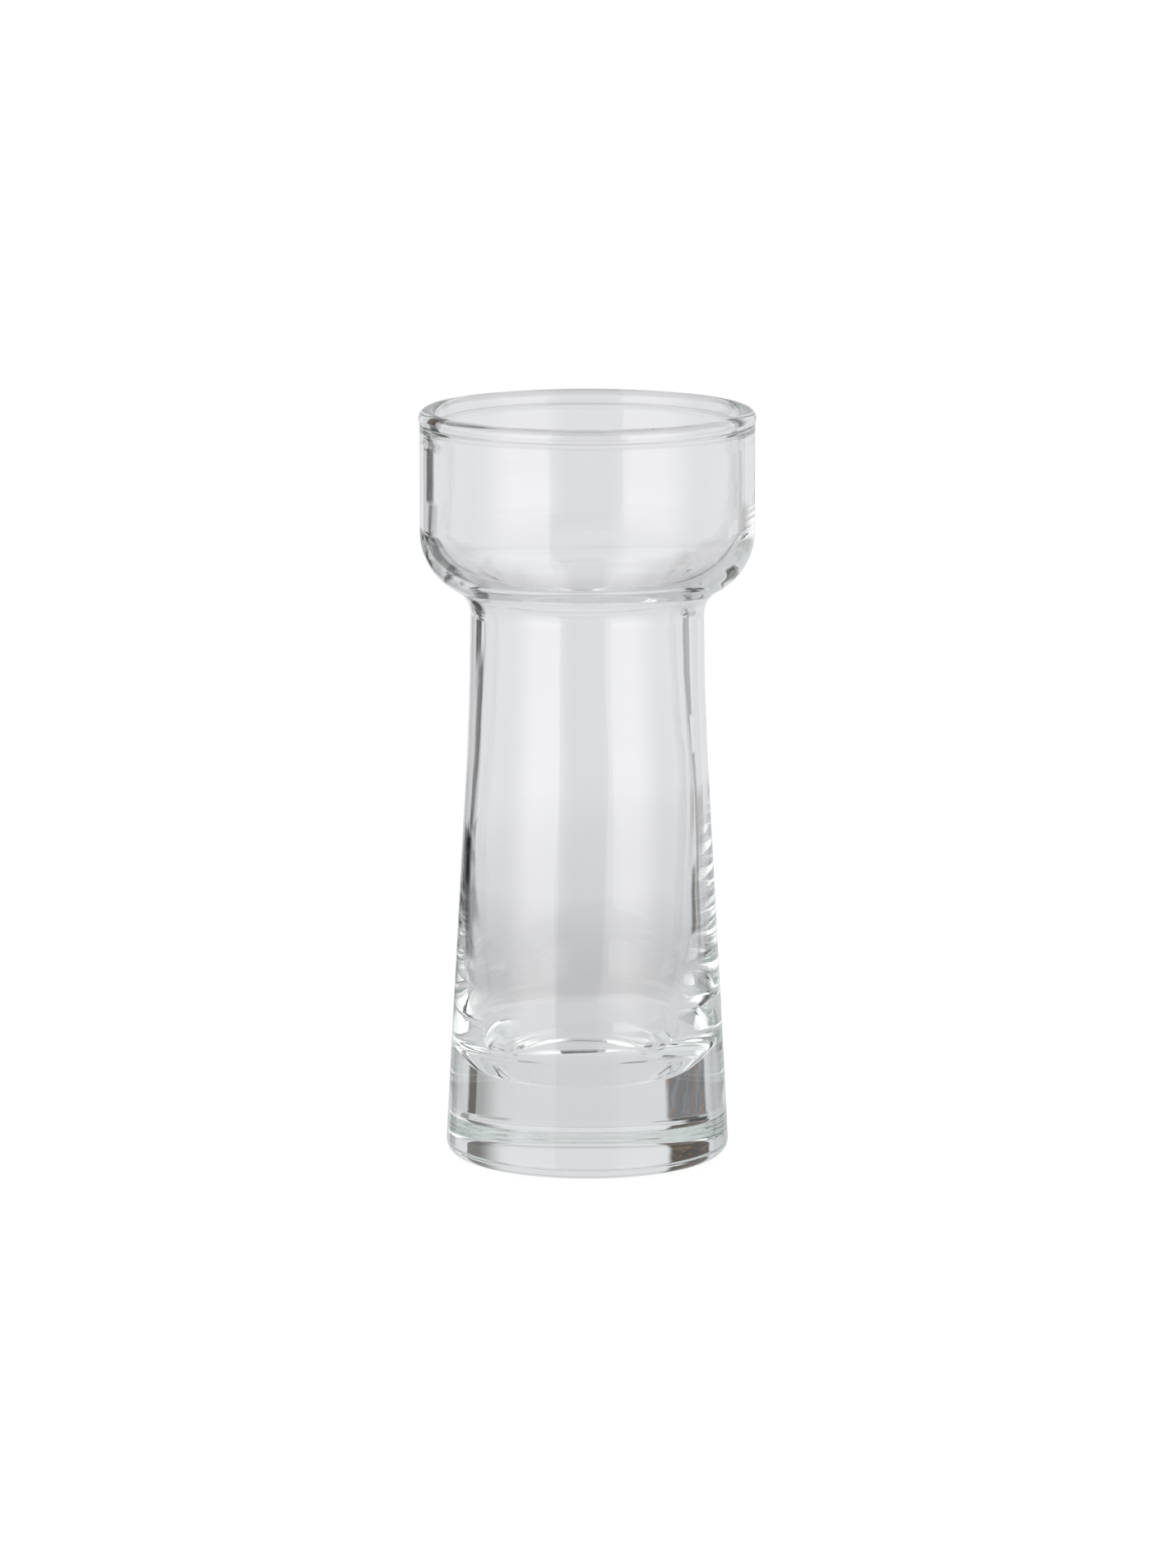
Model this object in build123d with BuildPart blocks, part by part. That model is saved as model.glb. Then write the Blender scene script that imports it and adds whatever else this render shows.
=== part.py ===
from build123d import *
import math
import os

# A hyacinth forcing vase, moulded in one piece of clear glass.
# It stands on the XY plane, centred on the Z axis. Sizes are in millimetres.
height = 157.2
rim_diameter = 70.0
waist_diameter = 48.6
foot_diameter = 59.5  # at the floor, before the foot is rounded

# The cup that holds the bulb, with its rolled rim
cup_wall = 2.5
cup_depth = 33.1  # from the rim down to the outer shoulder corner
bead_radius = 1.9  # of the rolled rim
bead_proud = 0.2  # how far the rim stands out from the cup's outside
bead_blend = 2.0  # hollow under the rim, outside
inner_bead_blend = 3.0  # and inside
shoulder_angle = 58.8  # of the cup's sloping floor, from the vertical
shoulder_wall = 3.6
shoulder_round = 13.5
waist_round = 5.9
inner_shoulder_round = 11.0
seat_round = 9.1  # the lip that the bulb rests on, above the throat

# The neck and the flared body, whose inside widens below the throat
neck_length = 18.4  # from the waist corner down to the middle of the flare's bend
flare_blend = 14.5  # how far the bend reaches to each side of its middle
throat_wall = 3.6
throat_length = 16.0  # from the seat's corner down to the upper bend's middle
belly_length = 35.0  # over which the inside widens from the throat to the cavity
belly_blend = 10.5  # how far each of its two bends reaches to each side
belly_wall = 2.5  # where the cavity has reached its full width

# The heavy foot, with a bowl and a shallow dish inside and a shallow hollow under it
base_thickness = 15.7  # from the floor up to the middle of the dish
heel_rise = 26.3  # from there up to where the wall starts to thicken
heel_lean = 2.5  # how far in the wall has come at the bowl's corner
heel_blend = 8.0  # how far its bend reaches to each side
bowl_rise = 7.5  # from the dish's middle up to the bowl's corner
bowl_round = 8.0
dish_radius = 14.5
dish_rise = 1.5  # from the dish's middle up to its edge
dish_round = 6.0
dish_flat = 6.0  # radius of the flat in its middle
dish_blend = 4.0  # how far the flat's edge reaches to each side
foot_round = 3.2
ring_width = 3.0  # flat ring that the vase stands on
punt_depth = 0.25
punt_run = 10.4  # over which the underside rises from the ring
punt_blend = 1.2
punt_roof_blend = 9.0

slope_share_shoulder = 0.62  # most of the sloping floor that the shoulder's round may take
slope_share_waist = 0.38  # most of it that the waist's round may take
bowl_share = 0.7  # most of the bowl's slope that its upper round may take


def reach_of(radius, turn):
    """How far a round of this radius reaches along each side of a corner that turns by this angle."""
    return radius * math.tan(math.radians(turn / 2))


def limited_round(radius, turn, room):
    """The radius, or the largest that fits where the side of the corner is only this long."""
    return min(radius, room / math.tan(math.radians(turn / 2)))


def turn_at(before, corner, after):
    """The angle that the line turns by at a corner."""
    return (Vector(*corner) - Vector(*before)).get_angle(Vector(*after) - Vector(*corner))


def blend_radius(before, corner, after, reach):
    """Radius of the arc that bends the line at a corner over this reach to each side."""
    return reach / math.tan(math.radians(turn_at(before, corner, after) / 2))


# Outer radii and heights
cup_radius = rim_diameter / 2 - bead_proud
waist_radius = waist_diameter / 2
foot_radius = foot_diameter / 2
bead_z = height - bead_radius
shoulder_z = height - cup_depth
slope = 1 / math.tan(math.radians(shoulder_angle))  # rise of the cup's floor for each unit outwards
waist_z = shoulder_z - (cup_radius - waist_radius) * slope
flare_z = waist_z - neck_length
taper = (foot_radius - waist_radius) / flare_z
foot_turn = 90 - math.degrees(math.atan(taper))

# Inner radii and heights
cup_bore = cup_radius - cup_wall
throat_bore = waist_radius - throat_wall
seat_rise = shoulder_wall / math.sin(math.radians(shoulder_angle))  # the floor's thickness, measured upright
seat_z = waist_z + seat_rise - throat_wall * slope
cup_floor_z = seat_z + (cup_bore - throat_bore) * slope
throat_end_z = seat_z - throat_length
belly_end_z = throat_end_z - belly_length
cavity_bore = foot_radius - taper * belly_end_z - belly_wall

# Underside
ring_bore = foot_radius - reach_of(foot_round, foot_turn) - ring_width
punt_radius = ring_bore - punt_run
punt_reach = min(punt_roof_blend, punt_radius, punt_run - punt_blend)

# Corners of the half section, up the outside and down the inside
punt_top = (0, punt_depth)
punt_edge = (punt_radius, punt_depth)
ring_edge = (ring_bore, 0)
foot = (foot_radius, 0)
flare = (waist_radius, flare_z)
waist = (waist_radius, waist_z)
shoulder = (cup_radius, shoulder_z)
rim_outside = (cup_radius, bead_z)
rim_inside = (cup_bore, bead_z)
cup_floor = (cup_bore, cup_floor_z)
seat = (throat_bore, seat_z)
throat_end = (throat_bore, throat_end_z)
belly_end = (cavity_bore, belly_end_z)
heel = (cavity_bore, base_thickness + heel_rise)
bowl_edge = (cavity_bore - heel_lean, base_thickness + bowl_rise)
dish_edge = (dish_radius, base_thickness + dish_rise)
flat_edge = (dish_flat, base_thickness)
dish_middle = (0, base_thickness)

# Rounds on the cup's sloping floor, no larger than the slope has room for
outer_slope = (cup_radius - waist_radius) / math.sin(math.radians(shoulder_angle))
inner_slope = (cup_bore - throat_bore) / math.sin(math.radians(shoulder_angle))
shoulder_fit = limited_round(shoulder_round, shoulder_angle, slope_share_shoulder * outer_slope)
waist_fit = limited_round(waist_round, shoulder_angle, slope_share_waist * outer_slope)
inner_shoulder_fit = limited_round(inner_shoulder_round, shoulder_angle, slope_share_shoulder * inner_slope)
seat_fit = limited_round(seat_round, shoulder_angle, slope_share_waist * inner_slope)

# Rounds of the bowl and its dish, no larger than their slopes have room for
bowl_turn = turn_at(heel, bowl_edge, dish_edge)
dish_turn = turn_at(bowl_edge, dish_edge, flat_edge)
bowl_slope = math.dist(bowl_edge, dish_edge)
dish_slope = math.dist(dish_edge, flat_edge)
bowl_fit = limited_round(bowl_round, bowl_turn, bowl_share * bowl_slope)
dish_fit = limited_round(dish_round, dish_turn, min((1 - bowl_share) * bowl_slope, dish_slope / 2))
dish_reach = min(dish_blend, dish_flat, dish_slope / 2)

# Bends of the body, no longer than the straight runs beside them
flare_reach = min(flare_blend, neck_length - reach_of(waist_fit, shoulder_angle))
throat_room = throat_length - reach_of(seat_fit, shoulder_angle)
heel_room = math.dist(heel, bowl_edge) - reach_of(bowl_fit, bowl_turn)
heel_reach = min(heel_blend, heel_room)
cavity_room = belly_end_z - heel[1] - heel_reach
belly_reach = min(belly_blend, throat_room, cavity_room, belly_length / 2)

corners = [
    (punt_edge, blend_radius(punt_top, punt_edge, ring_edge, punt_reach)),
    (ring_edge, blend_radius(punt_edge, ring_edge, foot, punt_blend)),
    (foot, foot_round),
    (flare, blend_radius(foot, flare, waist, flare_reach)),
    (waist, waist_fit),
    (shoulder, shoulder_fit),
    (rim_outside, 0),
    (rim_inside, 0),
    (cup_floor, inner_shoulder_fit),
    (seat, seat_fit),
    (throat_end, blend_radius(seat, throat_end, belly_end, belly_reach)),
    (belly_end, blend_radius(throat_end, belly_end, heel, belly_reach)),
    (heel, blend_radius(belly_end, heel, bowl_edge, heel_reach)),
    (bowl_edge, bowl_fit),
    (dish_edge, dish_fit),
    (flat_edge, blend_radius(dish_edge, flat_edge, dish_middle, dish_reach)),
]
corner_points = [point for point, radius in corners]
corner_rounds = [radius for point, radius in corners]

with BuildPart() as glass_vase:
    with BuildSketch(Plane.XZ) as section:
        with BuildLine():
            wall = FilletPolyline(punt_top, *corner_points, dish_middle, radius=corner_rounds)
            Line(wall @ 1, wall @ 0)
        make_face()
        with Locations((rim_diameter / 2 - bead_radius, bead_z)):
            Circle(bead_radius)
        # The rim's round runs into each face of the wall, just below its middle
        for side, blend in ((0, inner_bead_blend), (-1, bead_blend)):
            meeting = section.vertices().filter_by_position(Axis.Y, bead_z - bead_radius, bead_z - bead_proud)
            fillet(meeting.sort_by(Axis.X)[side], blend)
    revolve(axis=Axis.Z)

glass_vase.part.label = "glass_vase"

os.makedirs("parts", exist_ok=True)
export_step(glass_vase.part, "parts/glass_vase.step")

bounds = glass_vase.part.bounding_box()
print(f"size {bounds.size.X:.2f} x {bounds.size.Y:.2f} x {bounds.size.Z:.2f} mm")
print(f"volume {glass_vase.part.volume / 1000:.1f} cm3")
print(f"cup bore {2 * cup_bore:.1f}, throat bore {2 * throat_bore:.1f}, cavity bore {2 * cavity_bore:.1f} mm")
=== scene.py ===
"""Looks of the hyacinth forcing vase: a lathe-turned clear glass vessel in a plain white studio."""

import math

import bmesh
import bpy
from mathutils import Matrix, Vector


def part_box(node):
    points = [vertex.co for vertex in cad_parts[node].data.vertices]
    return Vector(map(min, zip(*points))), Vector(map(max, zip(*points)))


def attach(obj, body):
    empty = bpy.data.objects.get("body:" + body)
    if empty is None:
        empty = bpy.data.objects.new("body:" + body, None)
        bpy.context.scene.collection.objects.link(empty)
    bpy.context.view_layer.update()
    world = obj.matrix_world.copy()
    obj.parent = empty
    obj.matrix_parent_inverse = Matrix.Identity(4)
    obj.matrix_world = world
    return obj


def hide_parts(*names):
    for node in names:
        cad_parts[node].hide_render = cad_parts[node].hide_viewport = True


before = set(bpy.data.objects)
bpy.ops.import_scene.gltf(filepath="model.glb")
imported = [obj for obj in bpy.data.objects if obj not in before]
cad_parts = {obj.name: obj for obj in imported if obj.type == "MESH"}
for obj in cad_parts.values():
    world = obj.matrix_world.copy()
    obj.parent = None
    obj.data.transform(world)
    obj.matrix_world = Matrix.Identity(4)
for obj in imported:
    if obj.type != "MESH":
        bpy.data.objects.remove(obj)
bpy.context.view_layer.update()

MM = 0.001
LOW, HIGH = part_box("glass_vase")
HEIGHT = HIGH.z - LOW.z
RIM_RADIUS = HIGH.x

# The cup and its rolled rim, in metres
CUP_WALL = 2.5 * MM
CUP_DEPTH = 33.1 * MM
BEAD_RADIUS = 1.9 * MM
BEAD_PROUD = 0.2 * MM
BEAD_BLEND = 2.0 * MM
INNER_BEAD_BLEND = 3.0 * MM
SHOULDER_ANGLE = math.radians(58.8)
SHOULDER_WALL = 3.6 * MM
SHOULDER_ROUND = 13.5 * MM
WAIST_ROUND = 5.9 * MM
INNER_SHOULDER_ROUND = 11.0 * MM
SEAT_ROUND = 9.1 * MM

# The neck and the flared body
WAIST_RADIUS = 24.3 * MM
NECK_LENGTH = 18.4 * MM
FLARE_BLEND = 14.5 * MM
THROAT_WALL = 3.6 * MM
THROAT_LENGTH = 16.0 * MM
BELLY_LENGTH = 35.0 * MM
BELLY_BLEND = 10.5 * MM
BELLY_WALL = 2.5 * MM

# The heavy foot, with a bowl and a shallow dish inside and a shallow hollow under it
FOOT_RADIUS = 29.75 * MM
FOOT_ROUND = 3.2 * MM
BASE_THICKNESS = 15.7 * MM
HEEL_RISE = 26.3 * MM
HEEL_LEAN = 2.5 * MM
HEEL_BLEND = 8.0 * MM
BOWL_RISE = 7.5 * MM
BOWL_ROUND = 8.0 * MM
DISH_RADIUS = 14.5 * MM
DISH_RISE = 1.5 * MM
DISH_ROUND = 6.0 * MM
DISH_FLAT = 6.0 * MM
DISH_BLEND = 4.0 * MM
RING_WIDTH = 3.0 * MM
PUNT_DEPTH = 0.25 * MM
PUNT_RUN = 10.4 * MM
PUNT_BLEND = 1.2 * MM
PUNT_ROOF_BLEND = 9.0 * MM

# How far the inside's axis wanders to the right of the outside's, by height, from the foot up
CORE_DRIFT = [
    (17 * MM, -1.0 * MM),
    (54 * MM, -0.9 * MM),
    (84 * MM, -0.3 * MM),
    (100 * MM, -0.55 * MM),
    (119 * MM, -0.55 * MM),
    (140 * MM, 0.1 * MM),
    (150 * MM, 0.1 * MM),
    (152 * MM, 0.0 * MM),
]

# The bowl leans up to the right: its slope, and the heights where that comes in and goes out again
BOWL_TILT = 0.07
TILT_IN = (20 * MM, 27 * MM)
TILT_OUT = (30 * MM, 56 * MM)

# Chill lines on the inside's back half: height, how far each stands in, half its width, and how much it
# wanders up and down
CHILL_LINES = [
    (50.1 * MM, 0.016 * MM, 0.9 * MM, 0.2 * MM),
    (52.9 * MM, 0.010 * MM, 0.8 * MM, 0.3 * MM),
]
CHILL_WAVES = [(2, 1.0), (5, 0.5)]  # waves round the vase that a line wanders in, and the share of each

# How finely the glass is turned
SIDES = 176
STEP = 0.6 * MM
ARC_STEP = math.radians(3)

# The glass, and its skin: faint waves from the mould, and a polish that changes a little from place to place
GLASS_INDEX = 1.52
GLASS_TINT = (0.50, 0.72, 0.62, 1)
GLASS_DENSITY = 1.5
WAVE_SCALE = 160  # waves to a metre
WAVE_DETAIL = 1
WAVE_HEIGHT = 0.01 * MM
POLISH_SCALE = 400
POLISH_DETAIL = 2
POLISH_RANGE = (0.3, 0.7)  # of the noise that the roughness follows
POLISH_ROUGHNESS = (0.0, 0.02)

# The photograph's camera: where it stands, what it looks at, and its lens and sensor in millimetres
CAMERA_AT = Vector((0.00015, -1.694, 0.3766))
CAMERA_AIM = Vector((0.00015, 0, 0.0783))
CAMERA_LENS = 189.2
CAMERA_SENSOR = 36

# The studio round the vase. Compass angles are in degrees: 0 is straight behind the vase, 90 to its right.
# Elevations are in degrees too
STUDIO_GREY = (0.753, 0.757, 0.775)
LOW_GREY = (0.69, 0.69, 0.703)  # seen steeply down, below LOW_FROM, and mixed in up to LOW_TO
LOW_FROM = -24
LOW_TO = -15
STUDIO_CARDS = [
    # first and last compass edge, softness of each, lowest and highest elevation, softness of both, colour
    (-153.8, -112, 1.0, 36.0, -42, 27, 12.0, (1.42, 1.39, 1.41)),  # left softbox
    (112, 158, 36.0, 22.0, -42, 27, 12.0, (1.34, 1.31, 1.33)),  # right softbox
    (-153.8, -112, 1.0, 36.0, -40, -12.5, 7.0, (1.85, 1.85, 1.84)),  # the left softbox's light on the table
    (112, 158, 36.0, 22.0, -40, -12.5, 7.0, (1.75, 1.75, 1.75)),  # and the right one's
    (-400, 400, 1.0, 1.0, 36, 95, 12.0, (0.69, 0.70, 0.71)),  # ceiling
    (-190, -153.8, 1.0, 1.0, -45, 30, 5.0, (0.44, 0.44, 0.45)),  # the gap round the camera, left half
    (158, 190, 22.0, 1.0, -45, 30, 5.0, (0.44, 0.44, 0.45)),  # and right half
    (-190, -164, 1.0, 4.0, 11, 30.5, 5.0, (0.03, 0.03, 0.03)),  # its darkest part, over the camera, left half
    (150, 190, 4.0, 1.0, 11, 30.5, 5.0, (0.03, 0.03, 0.03)),  # and right half
    (-95, -54, 14.0, 14.0, -30, 30, 8.0, (0.61, 0.62, 0.635)),  # wall on the left
    (-50.5, -26.5, 3.0, 3.0, -22, -12, 3.0, (0.17, 0.17, 0.175)),  # dark table behind, to the left
    (-42, -26.5, 4.0, 4.0, -12, -6.9, 1.2, (0.05, 0.048, 0.045)),  # the dark room above it
    (-48, -33, 4.0, 7.0, -6.9, 4, 1.2, (0.05, 0.048, 0.045)),  # narrower further up
    (-50.5, -26.5, 3.0, 3.0, 4, 34, 3.0, (0.03, 0.028, 0.027)),  # and its upper part
    (-50, -20, 3.0, 4.0, -9.6, -8.4, 0.6, (0.12, 0.115, 0.11)),  # the table's far edge
    (35, 52, 14.0, 1.0, -19, -15.2, 1.5, (0.44, 0.44, 0.44)),  # edge of the backdrop, to the right
    (44.3, 50.7, 1.2, 1.0, -19, -15.2, 1.5, (0.14, 0.13, 0.12)),  # and the gap beside it
    (46.5, 54, 3.0, 2.0, -12, 4, 3.0, (0.36, 0.35, 0.34)),  # the gap further up
    (33, 48.7, 16.0, 1.0, 4, 34, 3.0, (0.15, 0.145, 0.14)),  # and its upper part
    (62, 100, 6.0, 10.0, -3, 17, 5.0, (0.62, 0.62, 0.62)),  # a greyer part of the wall on the right
    (25, 41, 6.0, 4.0, -15, -9.5, 2.5, (0.50, 0.495, 0.49)),  # a greyer part of the table, to the right
    (-97, -74, 8.0, 8.0, 4, 26, 6.0, (0.50, 0.50, 0.50)),  # a darker part of the wall on the left
    (-27, 33, 4.0, 8.0, 17.5, 25, 2.5, (0.58, 0.58, 0.58)),  # the backdrop's greyer upper part
]

# The dark table and the dark room are mottled. Each row has the card that its spots are on, the range of
# the noise where they come in, the noise's scale and the spots' colour
SPOTS = [
    ((-50.5, -26.5, 3.0, 3.0, -22, -12, 3.0), (0.40, 0.60), 14, (0.25, 0.27, 0.30)),
    ((-50.5, -26.5, 3.0, 3.0, -22, -12, 3.0), (0.55, 0.68), 20, (0.34, 0.19, 0.12)),
    ((-50.5, -26.5, 3.0, 3.0, 4, 34, 3.0), (0.48, 0.68), 26, (0.20, 0.13, 0.07)),
]
SPOT_STRETCH = (0.4, 0.4, 24)
SPOT_DETAIL = 2

# The floor that the glass sees, with painted light and shade on it: lighter under the vase, as painted light
# for what the foot focuses there, a painted shadow of the vase round it, and clear further away
NEAR_LEVEL = 0.93
NEAR_EDGE = (66 * MM, 86 * MM)
SHADE_LEVEL = 0.775
SHADE_STEPS = [(150 * MM, 235 * MM, 0.14), (235 * MM, 560 * MM, 0.105)]  # from, to, and how much it lifts

# Darker wedges on the floor that the glass sees. Each is a wedge: first and last compass edge, softness
# of each, nearest and furthest reach, softness of both, and how much light it lets through
DARK_WEDGES = [
    (-46, -20, 6.0, 5.0, 150 * MM, 520 * MM, 40 * MM, 0.15),
    (42.5, 47.5, 3.0, 2.0, 85 * MM, 2500 * MM, 30 * MM, 0.5),
]

# The floor that the camera sees, and the light on it
FLOOR_SIZE = 12
FLOOR_GLOW = 0.95
FLOOR_PAPER = (0.08, 0.08, 0.08, 1)
EVEN_LIGHT = (0.8, 0.8, 0.8, 1)
WHITE = (1, 1, 1, 1)

# How often light may bounce in the glass
BOUNCES = 64
GLOSSY_BOUNCES = 48


def blend_radius(before, corner, after, reach):
    """Radius of the arc that bends the line at a corner over this reach to each side."""
    turn = (Vector(corner) - Vector(before)).angle(Vector(after) - Vector(corner))
    return reach / math.tan(turn / 2)


def arc(centre, radius, start, end):
    """Points on an arc between two angles, both ends included."""
    count = max(2, math.ceil(abs(end - start) / ARC_STEP))
    angles = [start + (end - start) * i / count for i in range(count + 1)]
    return [centre + radius * Vector((math.cos(a), math.sin(a))) for a in angles]


def straight(start, end):
    """Points along a straight run, without its start."""
    count = max(1, math.ceil((end - start).length / STEP))
    return [start.lerp(end, (i + 1) / count) for i in range(count)]


def rounded_line(corners):
    """Points along a line of (corner, radius) pairs, with each corner rounded to its radius."""
    points = [Vector(corners[0][0])]
    for (before, _), (corner, radius), (after, _) in zip(corners, corners[1:], corners[2:]):
        back = (Vector(before) - Vector(corner)).normalized()
        on = (Vector(after) - Vector(corner)).normalized()
        half = (math.pi - back.angle(on)) / 2
        reach = radius * math.tan(half)
        start = Vector(corner) + back * reach
        centre = Vector(corner) + (back + on).normalized() * radius / math.cos(half)
        points += straight(points[-1], start)
        first = math.atan2(*(start - centre).yx)
        last = math.atan2(*(Vector(corner) + on * reach - centre).yx)
        sweep = (last - first + math.pi) % (2 * math.pi) - math.pi
        points += arc(centre, radius, first, first + sweep)[1:]
    return points + straight(points[-1], Vector(corners[-1][0]))


def bead_blend(bead, wall_radius, blend, side):
    """Middle of the hollow blend between the rim's bead and one face of the wall, and how far it leans."""
    across = abs(wall_radius - bead.x) + blend
    drop = math.sqrt((BEAD_RADIUS + blend) ** 2 - across**2)
    return bead + Vector((side * across, -drop)), math.atan2(drop, across)


def rim_arcs(cup_radius, cup_bore):
    """The rolled rim: two hollow blends with the round bead between them, from the outside to the inside."""
    bead = Vector((RIM_RADIUS - BEAD_RADIUS, HEIGHT - BEAD_RADIUS))
    outside, outer_lean = bead_blend(bead, cup_radius, BEAD_BLEND, 1)
    inside, inner_lean = bead_blend(bead, cup_bore, INNER_BEAD_BLEND, -1)
    up = arc(outside, BEAD_BLEND, math.pi, math.pi - outer_lean)
    over = arc(bead, BEAD_RADIUS, -outer_lean, math.pi + inner_lean)
    down = arc(inside, INNER_BEAD_BLEND, inner_lean, 0)
    return up + over[1:-1] + down


def half_section():
    """Points of the vase's half section, up the outside and down the inside, and where the inside starts."""
    cup_radius = RIM_RADIUS - BEAD_PROUD
    cup_bore = cup_radius - CUP_WALL
    slope = 1 / math.tan(SHOULDER_ANGLE)
    shoulder = (cup_radius, HEIGHT - CUP_DEPTH)
    waist = (WAIST_RADIUS, shoulder[1] - (cup_radius - WAIST_RADIUS) * slope)
    flare = (WAIST_RADIUS, waist[1] - NECK_LENGTH)
    taper = (FOOT_RADIUS - WAIST_RADIUS) / flare[1]
    foot = (FOOT_RADIUS, 0)
    foot_reach = FOOT_ROUND * math.tan((math.pi / 2 - math.atan(taper)) / 2)
    ring_edge = (FOOT_RADIUS - foot_reach - RING_WIDTH, 0)
    punt_edge = (ring_edge[0] - PUNT_RUN, PUNT_DEPTH)
    punt_top = (0, PUNT_DEPTH)
    seat_z = waist[1] + SHOULDER_WALL / math.sin(SHOULDER_ANGLE) - THROAT_WALL * slope
    seat = (WAIST_RADIUS - THROAT_WALL, seat_z)
    cup_floor = (cup_bore, seat_z + (cup_bore - seat[0]) * slope)
    throat_end = (seat[0], seat_z - THROAT_LENGTH)
    belly_z = throat_end[1] - BELLY_LENGTH
    belly_end = (FOOT_RADIUS - taper * belly_z - BELLY_WALL, belly_z)
    heel = (belly_end[0], BASE_THICKNESS + HEEL_RISE)
    bowl_edge = (belly_end[0] - HEEL_LEAN, BASE_THICKNESS + BOWL_RISE)
    dish_edge = (DISH_RADIUS, BASE_THICKNESS + DISH_RISE)
    dish_flat = (DISH_FLAT, BASE_THICKNESS)
    dish_middle = (0, BASE_THICKNESS)
    rim = rim_arcs(cup_radius, cup_bore)
    outside = rounded_line(
        [
            (punt_top, 0),
            (punt_edge, blend_radius(punt_top, punt_edge, ring_edge, PUNT_ROOF_BLEND)),
            (ring_edge, blend_radius(punt_edge, ring_edge, foot, PUNT_BLEND)),
            (foot, FOOT_ROUND),
            (flare, blend_radius(foot, flare, waist, FLARE_BLEND)),
            (waist, WAIST_ROUND),
            (shoulder, SHOULDER_ROUND),
            (tuple(rim[0]), 0),
        ]
    )
    inside = rounded_line(
        [
            (tuple(rim[-1]), 0),
            (cup_floor, INNER_SHOULDER_ROUND),
            (seat, SEAT_ROUND),
            (throat_end, blend_radius(seat, throat_end, belly_end, BELLY_BLEND)),
            (belly_end, blend_radius(throat_end, belly_end, heel, BELLY_BLEND)),
            (heel, blend_radius(belly_end, heel, bowl_edge, HEEL_BLEND)),
            (bowl_edge, BOWL_ROUND),
            (dish_edge, DISH_ROUND),
            (dish_flat, blend_radius(dish_edge, dish_flat, dish_middle, DISH_BLEND)),
            (dish_middle, 0),
        ]
    )
    return outside + rim[1:-1] + inside, len(outside) + len(rim) - 2


def ease(first, last, value):
    """Runs smoothly from 0 to 1 while the value goes from first to last."""
    t = min(1, max(0, (value - first) / (last - first)))
    return t * t * (3 - 2 * t)


def core_drift(z):
    """How far the inside is off the outside's axis at a height, eased between the heights that are given."""
    for (low, before), (high, after) in zip(CORE_DRIFT, CORE_DRIFT[1:]):
        if z < high:
            return before + (after - before) * ease(low, high, z)
    return CORE_DRIFT[-1][1]


def chill(angle, z):
    """How far the inside stands in at a place, on the lines where the hot glass stood still in the mould."""
    depth = 0
    for number, (height, rise, width, wander) in enumerate(CHILL_LINES):
        sway = 0
        for order, (waves, share) in enumerate(CHILL_WAVES, 1):
            sway += share * math.sin(waves * angle + order * number)
        middle = height + wander * sway
        depth += rise * math.exp(-(((z - middle) / width) ** 2))
    return depth * max(0, math.sin(angle))


def outside_point(p, angle):
    """A point of the outside, which is exactly round."""
    return p.x * math.cos(angle), p.x * math.sin(angle), p.y


def inside_point(p, angle):
    """A point of the inside, with its wandering axis, the lean of the bowl and the chill lines."""
    radius = p.x - chill(angle, p.y)
    x = radius * math.cos(angle)
    lean = BOWL_TILT * ease(*TILT_IN, p.y) * (1 - ease(*TILT_OUT, p.y))
    return x + core_drift(p.y), radius * math.sin(angle), p.y + lean * x


def lathe(name, section, inside_from):
    """A closed smooth mesh: the half section turned about Z, with its inside a little off the axis."""
    mesh = bmesh.new()
    angles = [2 * math.pi * i / SIDES for i in range(SIDES)]
    bottom = mesh.verts.new((0, 0, section[0].y))
    outside = [[mesh.verts.new(outside_point(p, a)) for a in angles] for p in section[1:inside_from]]
    inside = [[mesh.verts.new(inside_point(p, a)) for a in angles] for p in section[inside_from:-1]]
    rings = outside + inside
    top = mesh.verts.new((core_drift(section[-1].y), 0, section[-1].y))
    for i in range(SIDES):
        j = (i + 1) % SIDES
        mesh.faces.new((bottom, rings[0][j], rings[0][i]))
        for low, high in zip(rings, rings[1:]):
            mesh.faces.new((low[i], low[j], high[j], high[i]))
        mesh.faces.new((rings[-1][i], rings[-1][j], top))
    bmesh.ops.recalc_face_normals(mesh, faces=mesh.faces)
    for face in mesh.faces:
        face.smooth = True
    data = bpy.data.meshes.new(name)
    mesh.to_mesh(data)
    mesh.free()
    piece = bpy.data.objects.new(name, data)
    bpy.context.scene.collection.objects.link(piece)
    return piece


def new_material(name):
    """An empty node material, with its nodes and links."""
    material = bpy.data.materials.new(name)
    material.use_nodes = True
    tree = material.node_tree
    tree.nodes.clear()
    return material, tree.nodes, tree.links


def map_range(nodes, links, value, first, last, low, high):
    """A node output that runs smoothly from low to high while the value goes from first to last."""
    step = nodes.new("ShaderNodeMapRange")
    step.interpolation_type = "SMOOTHSTEP"
    step.inputs["From Min"].default_value = first
    step.inputs["From Max"].default_value = last
    step.inputs["To Min"].default_value = low
    step.inputs["To Max"].default_value = high
    links.new(value, step.inputs["Value"])
    return step.outputs["Result"]


def noise(nodes, links, place, scale, detail):
    """A smooth noise over a place, between 0 and 1."""
    texture = nodes.new("ShaderNodeTexNoise")
    texture.inputs["Scale"].default_value = scale
    texture.inputs["Detail"].default_value = detail
    links.new(place, texture.inputs["Vector"])
    return texture.outputs["Fac"]


def math_node(nodes, links, operation, *values):
    """The result of a math operation on one or two node outputs."""
    node = nodes.new("ShaderNodeMath")
    node.operation = operation
    for value, socket in zip(values, node.inputs):
        links.new(value, socket)
    return node.outputs["Value"]


def product(nodes, links, factors):
    """The product of several node outputs."""
    result = factors[0]
    for factor in factors[1:]:
        result = math_node(nodes, links, "MULTIPLY", result, factor)
    return result


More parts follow.
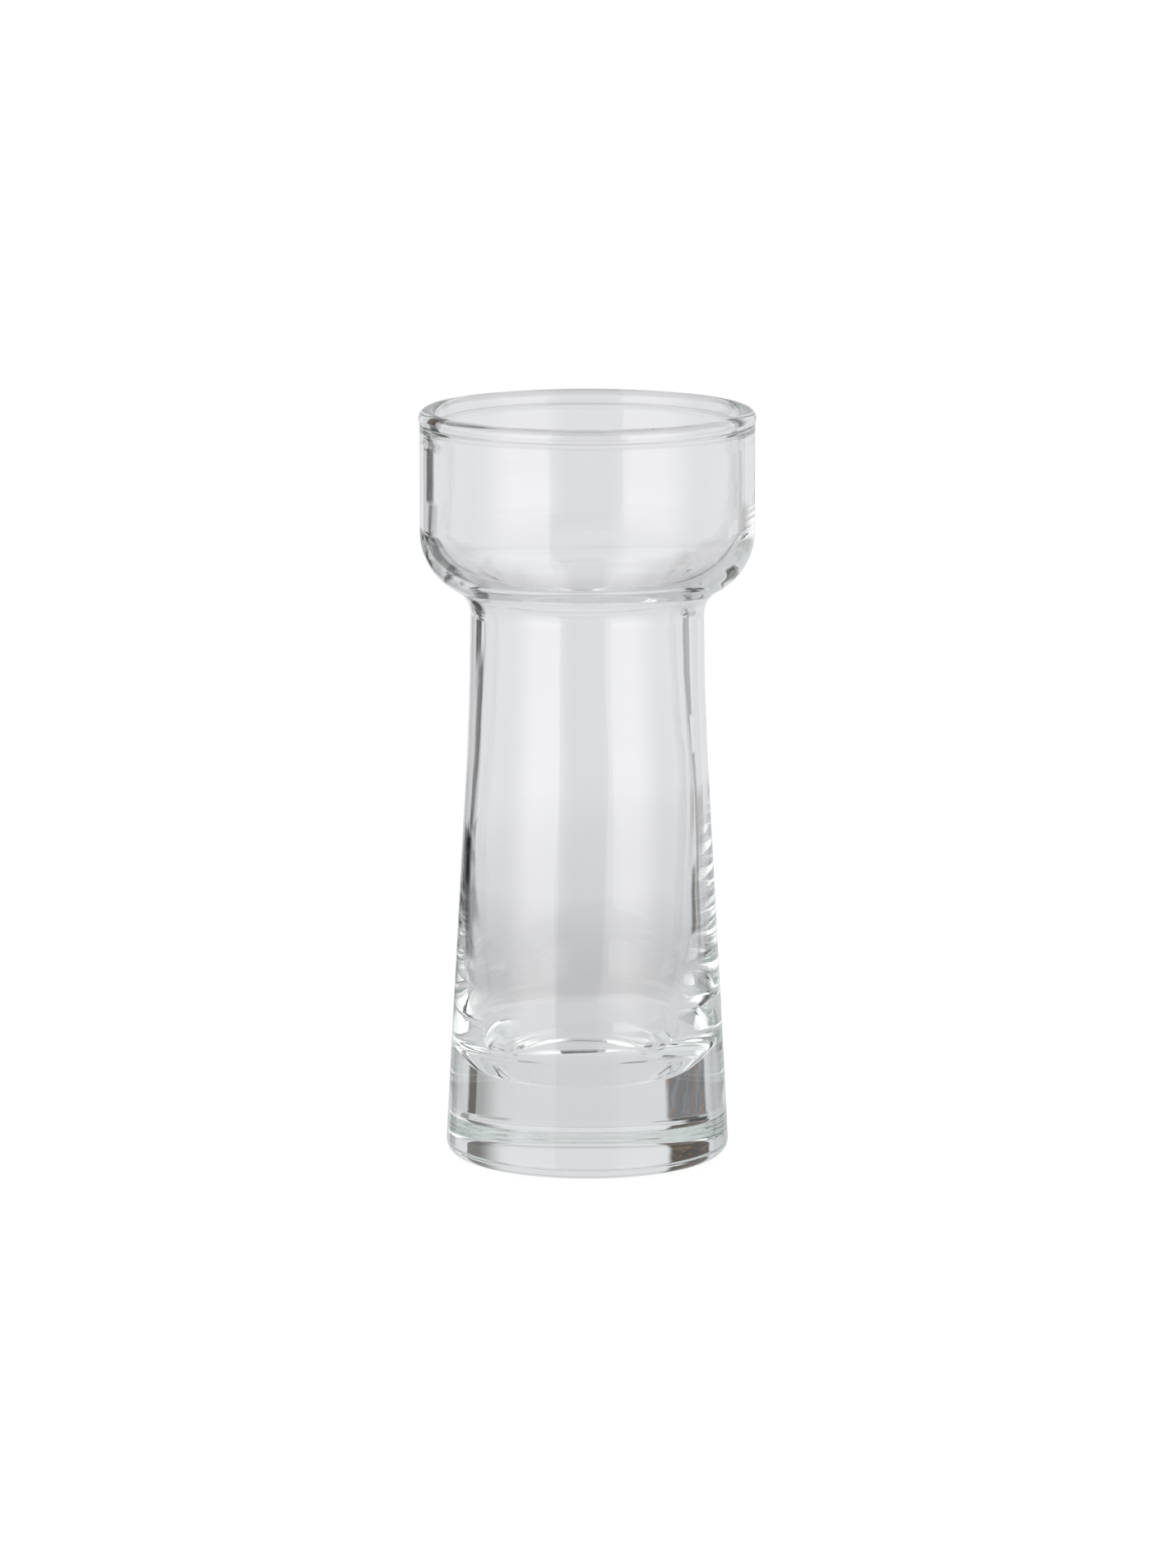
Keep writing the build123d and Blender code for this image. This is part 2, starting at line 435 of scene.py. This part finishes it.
def mix_colour(nodes, links, factor, under, over):
    """A node colour with a plain colour laid over it where the factor is 1."""
    mix = nodes.new("ShaderNodeMix")
    mix.data_type = "RGBA"
    links.new(factor, mix.inputs["Factor"])
    links.new(under, mix.inputs["A"])
    mix.inputs["B"].default_value = (*over, 1)
    return mix.outputs["Result"]


def mix_shader(nodes, links, factor, first, second):
    """The first shader where the factor is 0, and the second where it is 1."""
    mix = nodes.new("ShaderNodeMixShader")
    links.new(factor, mix.inputs["Fac"])
    links.new(first, mix.inputs[1])
    links.new(second, mix.inputs[2])
    return mix.outputs["Shader"]


def glass_material():
    """Clear soda-lime glass, faintly green where it is thick."""
    material, nodes, links = new_material("clear_glass")
    output = nodes.new("ShaderNodeOutputMaterial")
    shader = nodes.new("ShaderNodeBsdfPrincipled")
    shader.inputs["Base Color"].default_value = WHITE
    shader.inputs["Transmission Weight"].default_value = 1.0
    shader.inputs["IOR"].default_value = GLASS_INDEX
    place = nodes.new("ShaderNodeTexCoord").outputs["Object"]
    polish = noise(nodes, links, place, POLISH_SCALE, POLISH_DETAIL)
    roughness = map_range(nodes, links, polish, *POLISH_RANGE, *POLISH_ROUGHNESS)
    links.new(roughness, shader.inputs["Roughness"])
    bump = nodes.new("ShaderNodeBump")
    bump.inputs["Distance"].default_value = WAVE_HEIGHT
    links.new(noise(nodes, links, place, WAVE_SCALE, WAVE_DETAIL), bump.inputs["Height"])
    links.new(bump.outputs["Normal"], shader.inputs["Normal"])
    absorb = nodes.new("ShaderNodeVolumeAbsorption")
    absorb.inputs["Color"].default_value = GLASS_TINT
    absorb.inputs["Density"].default_value = GLASS_DENSITY
    links.new(shader.outputs["BSDF"], output.inputs["Surface"])
    links.new(absorb.outputs["Volume"], output.inputs["Volume"])
    return material


def card_edge(nodes, links, angle, edge, softness, low, high):
    """A soft edge of a studio card, at an angle in degrees."""
    first = math.radians(edge - softness / 2)
    last = math.radians(edge + softness / 2)
    return map_range(nodes, links, angle, first, last, low, high)


def compass(nodes, links, place):
    """The compass angle of a direction or a place, and its height, in node outputs."""
    split = nodes.new("ShaderNodeSeparateXYZ")
    links.new(place, split.inputs["Vector"])
    angle = math_node(nodes, links, "ARCTAN2", split.outputs["X"], split.outputs["Y"])
    return angle, split.outputs["Z"]


def card_window(nodes, links, angle, level, card):
    """1 where a direction meets a studio card, and 0 beside it."""
    first, last, soft_first, soft_last, low, high, soft_level = card
    edges = [
        card_edge(nodes, links, angle, first, soft_first, 0, 1),
        card_edge(nodes, links, angle, last, soft_last, 1, 0),
        card_edge(nodes, links, level, low, soft_level, 0, 1),
        card_edge(nodes, links, level, high, soft_level, 1, 0),
    ]
    return product(nodes, links, edges)


def light_path(nodes, links):
    """Two node outputs: 1 for light that has been in or on the glass, and 1 for the camera's own view."""
    path = nodes.new("ShaderNodeLightPath").outputs
    in_glass = math_node(nodes, links, "MAXIMUM", path["Is Glossy Ray"], path["Is Transmission Ray"])
    return in_glass, path["Is Camera Ray"]


def studio_colour(nodes, links, direction):
    """The studio's colour in a direction."""
    angle, height = compass(nodes, links, direction)
    level = math_node(nodes, links, "ARCSINE", height)
    colour = nodes.new("ShaderNodeRGB").outputs["Color"]
    colour.default_value = (*STUDIO_GREY, 1)
    steep = map_range(nodes, links, level, math.radians(LOW_FROM), math.radians(LOW_TO), 1, 0)
    colour = mix_colour(nodes, links, steep, colour, LOW_GREY)
    for *card, card_colour in STUDIO_CARDS:
        colour = mix_colour(nodes, links, card_window(nodes, links, angle, level, card), colour, card_colour)
    stretched = nodes.new("ShaderNodeVectorMath")
    stretched.operation = "MULTIPLY"
    stretched.inputs[1].default_value = SPOT_STRETCH
    links.new(direction, stretched.inputs[0])
    for card, spot_range, scale, spot_colour in SPOTS:
        spots = noise(nodes, links, stretched.outputs["Vector"], scale, SPOT_DETAIL)
        spots = map_range(nodes, links, spots, *spot_range, 0, 1)
        spots = product(nodes, links, [spots, card_window(nodes, links, angle, level, card)])
        colour = mix_colour(nodes, links, spots, colour, spot_colour)
    return colour


def studio_world():
    """White to the camera. Glass and gloss see the studio round the vase, and the rest gets an even light."""
    world = bpy.data.worlds.new("studio")
    bpy.context.scene.world = world
    world.use_nodes = True
    nodes, links = world.node_tree.nodes, world.node_tree.links
    nodes.clear()
    output = nodes.new("ShaderNodeOutputWorld")
    place = nodes.new("ShaderNodeTexCoord")
    seen = nodes.new("ShaderNodeBackground")
    links.new(studio_colour(nodes, links, place.outputs["Generated"]), seen.inputs["Color"])
    even = nodes.new("ShaderNodeBackground")
    even.inputs["Color"].default_value = EVEN_LIGHT
    white = nodes.new("ShaderNodeBackground")
    white.inputs["Color"].default_value = WHITE
    in_glass, to_camera = light_path(nodes, links)
    beside = mix_shader(nodes, links, in_glass, even.outputs["Background"], seen.outputs["Background"])
    pick = mix_shader(nodes, links, to_camera, beside, white.outputs["Background"])
    links.new(pick, output.inputs["Surface"])


def floor_shade(nodes, links):
    """The painted shadow that the floor lays on what the glass sees through it, by the distance from the
    vase.
    """
    place = nodes.new("ShaderNodeNewGeometry").outputs["Position"]
    away = nodes.new("ShaderNodeVectorMath")
    away.operation = "LENGTH"
    links.new(place, away.inputs[0])
    distance = away.outputs["Value"]
    shade = map_range(nodes, links, distance, *NEAR_EDGE, NEAR_LEVEL, SHADE_LEVEL)
    for near, far, lift in SHADE_STEPS:
        step = map_range(nodes, links, distance, near, far, 0, lift)
        shade = math_node(nodes, links, "ADD", shade, step)
    angle, _ = compass(nodes, links, place)
    for first, last, soft_first, soft_last, near, far, soft_reach, level in DARK_WEDGES:
        edges = [
            card_edge(nodes, links, angle, first, soft_first, 0, 1),
            card_edge(nodes, links, angle, last, soft_last, 1, 0),
            map_range(nodes, links, distance, near, near + soft_reach, 0, 1),
            map_range(nodes, links, distance, far, far + soft_reach, 1, 0),
        ]
        shade = mix_colour(nodes, links, product(nodes, links, edges), shade, (level, level, level))
    return shade


def floor_material():
    """White paper with the vase's soft shadow to the camera. The glass looks through it at the studio."""
    material, nodes, links = new_material("pale_floor")
    output = nodes.new("ShaderNodeOutputMaterial")
    glow = nodes.new("ShaderNodeEmission")
    glow.inputs["Strength"].default_value = FLOOR_GLOW
    paper = nodes.new("ShaderNodeBsdfDiffuse")
    paper.inputs["Color"].default_value = FLOOR_PAPER
    both = nodes.new("ShaderNodeAddShader")
    links.new(glow.outputs["Emission"], both.inputs[0])
    links.new(paper.outputs["BSDF"], both.inputs[1])
    # The glass looks through the floor with the vase's shadow painted on it
    clear = nodes.new("ShaderNodeBsdfTransparent")
    links.new(floor_shade(nodes, links), clear.inputs["Color"])
    in_glass, _ = light_path(nodes, links)
    pick = mix_shader(nodes, links, in_glass, both.outputs["Shader"], clear.outputs["BSDF"])
    links.new(pick, output.inputs["Surface"])
    return material


def floor():
    """A wide pale floor."""
    bpy.ops.mesh.primitive_plane_add(size=FLOOR_SIZE, location=(0, 0, LOW.z))
    plane = bpy.context.object
    plane.name = "floor"
    plane.data.materials.append(floor_material())


def camera():
    """The photograph's view: a long lens, a little above the rim."""
    data = bpy.data.cameras.new("camera")
    data.lens = CAMERA_LENS
    data.sensor_width = CAMERA_SENSOR
    eye = bpy.data.objects.new("camera", data)
    eye.location = CAMERA_AT
    eye.rotation_euler = (CAMERA_AIM - CAMERA_AT).to_track_quat("-Z", "Y").to_euler()
    bpy.context.scene.collection.objects.link(eye)
    bpy.context.scene.camera = eye


def main():
    """Makes the vase, its studio, its floor and its camera."""
    scene = bpy.context.scene
    scene.view_settings.view_transform = "Standard"
    scene.cycles.max_bounces = BOUNCES
    scene.cycles.glossy_bounces = GLOSSY_BOUNCES
    scene.cycles.transmission_bounces = BOUNCES
    section, inside_from = half_section()
    vase = lathe("vase_glass", section, inside_from)
    vase.data.materials.append(glass_material())
    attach(vase, "root")
    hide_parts("glass_vase")
    studio_world()
    floor()
    camera()


main()
